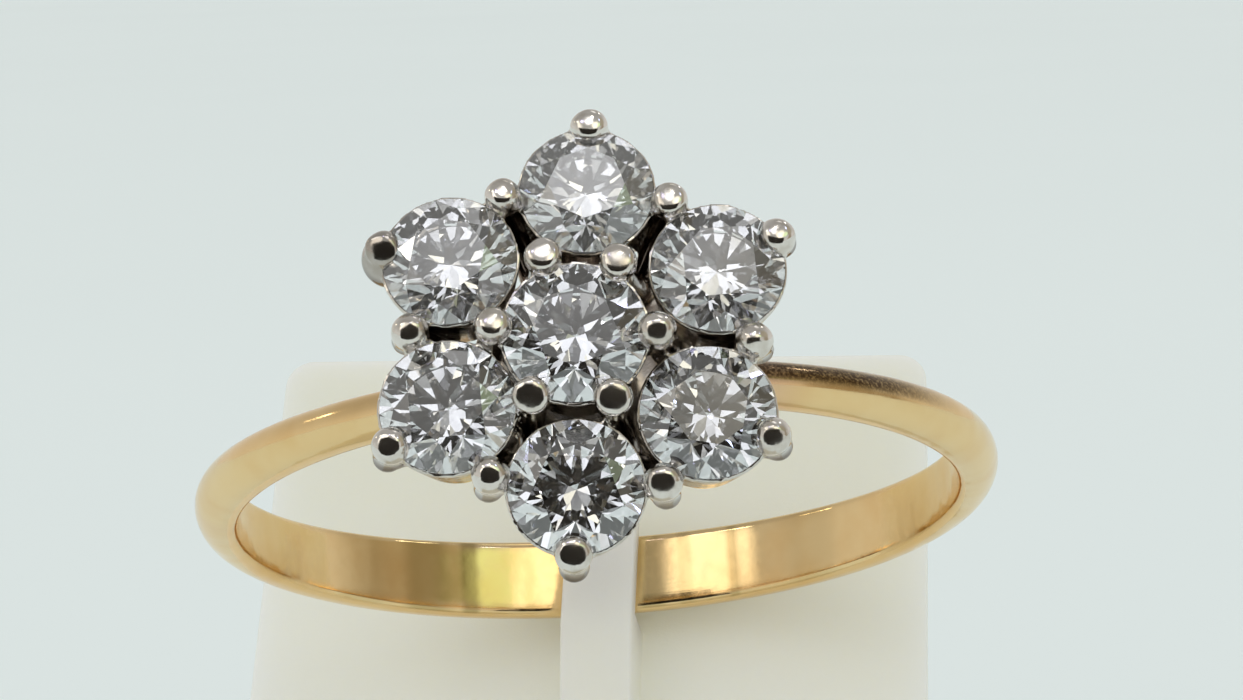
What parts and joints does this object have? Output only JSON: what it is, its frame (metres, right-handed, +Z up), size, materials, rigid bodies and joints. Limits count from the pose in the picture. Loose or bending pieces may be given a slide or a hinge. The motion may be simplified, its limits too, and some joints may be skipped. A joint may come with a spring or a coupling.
{
  "type": "cluster ring on display stand",
  "caption": "Finger ring with a flower-shaped cluster of claw-set round brilliants on a tapered D-section band, clipped upright to a plain leaning display stand.",
  "frame": {"origin": "middle of the stand's foot, on the surface that it stands on", "axes": "+Z up, -Y towards the front where the cluster faces, +X to the right as seen from the front"},
  "size_m": [0.0224, 0.0286, 0.0279],
  "materials": {
    "yellow_gold": "polished yellow gold",
    "white_gold": "polished white gold",
    "brilliant": "faceted and polished",
    "cream_plastic": "satin, slightly translucent"
  },
  "bodies": {
    "root": {"band": "yellow_gold", "setting": "white_gold", "centre_stone": "brilliant", "petal_stone_1": "brilliant", "petal_stone_2": "brilliant", "petal_stone_3": "brilliant", "petal_stone_4": "brilliant", "petal_stone_5": "brilliant", "petal_stone_6": "brilliant", "display_stand": "cream_plastic"}
  },
  "joints": []
}
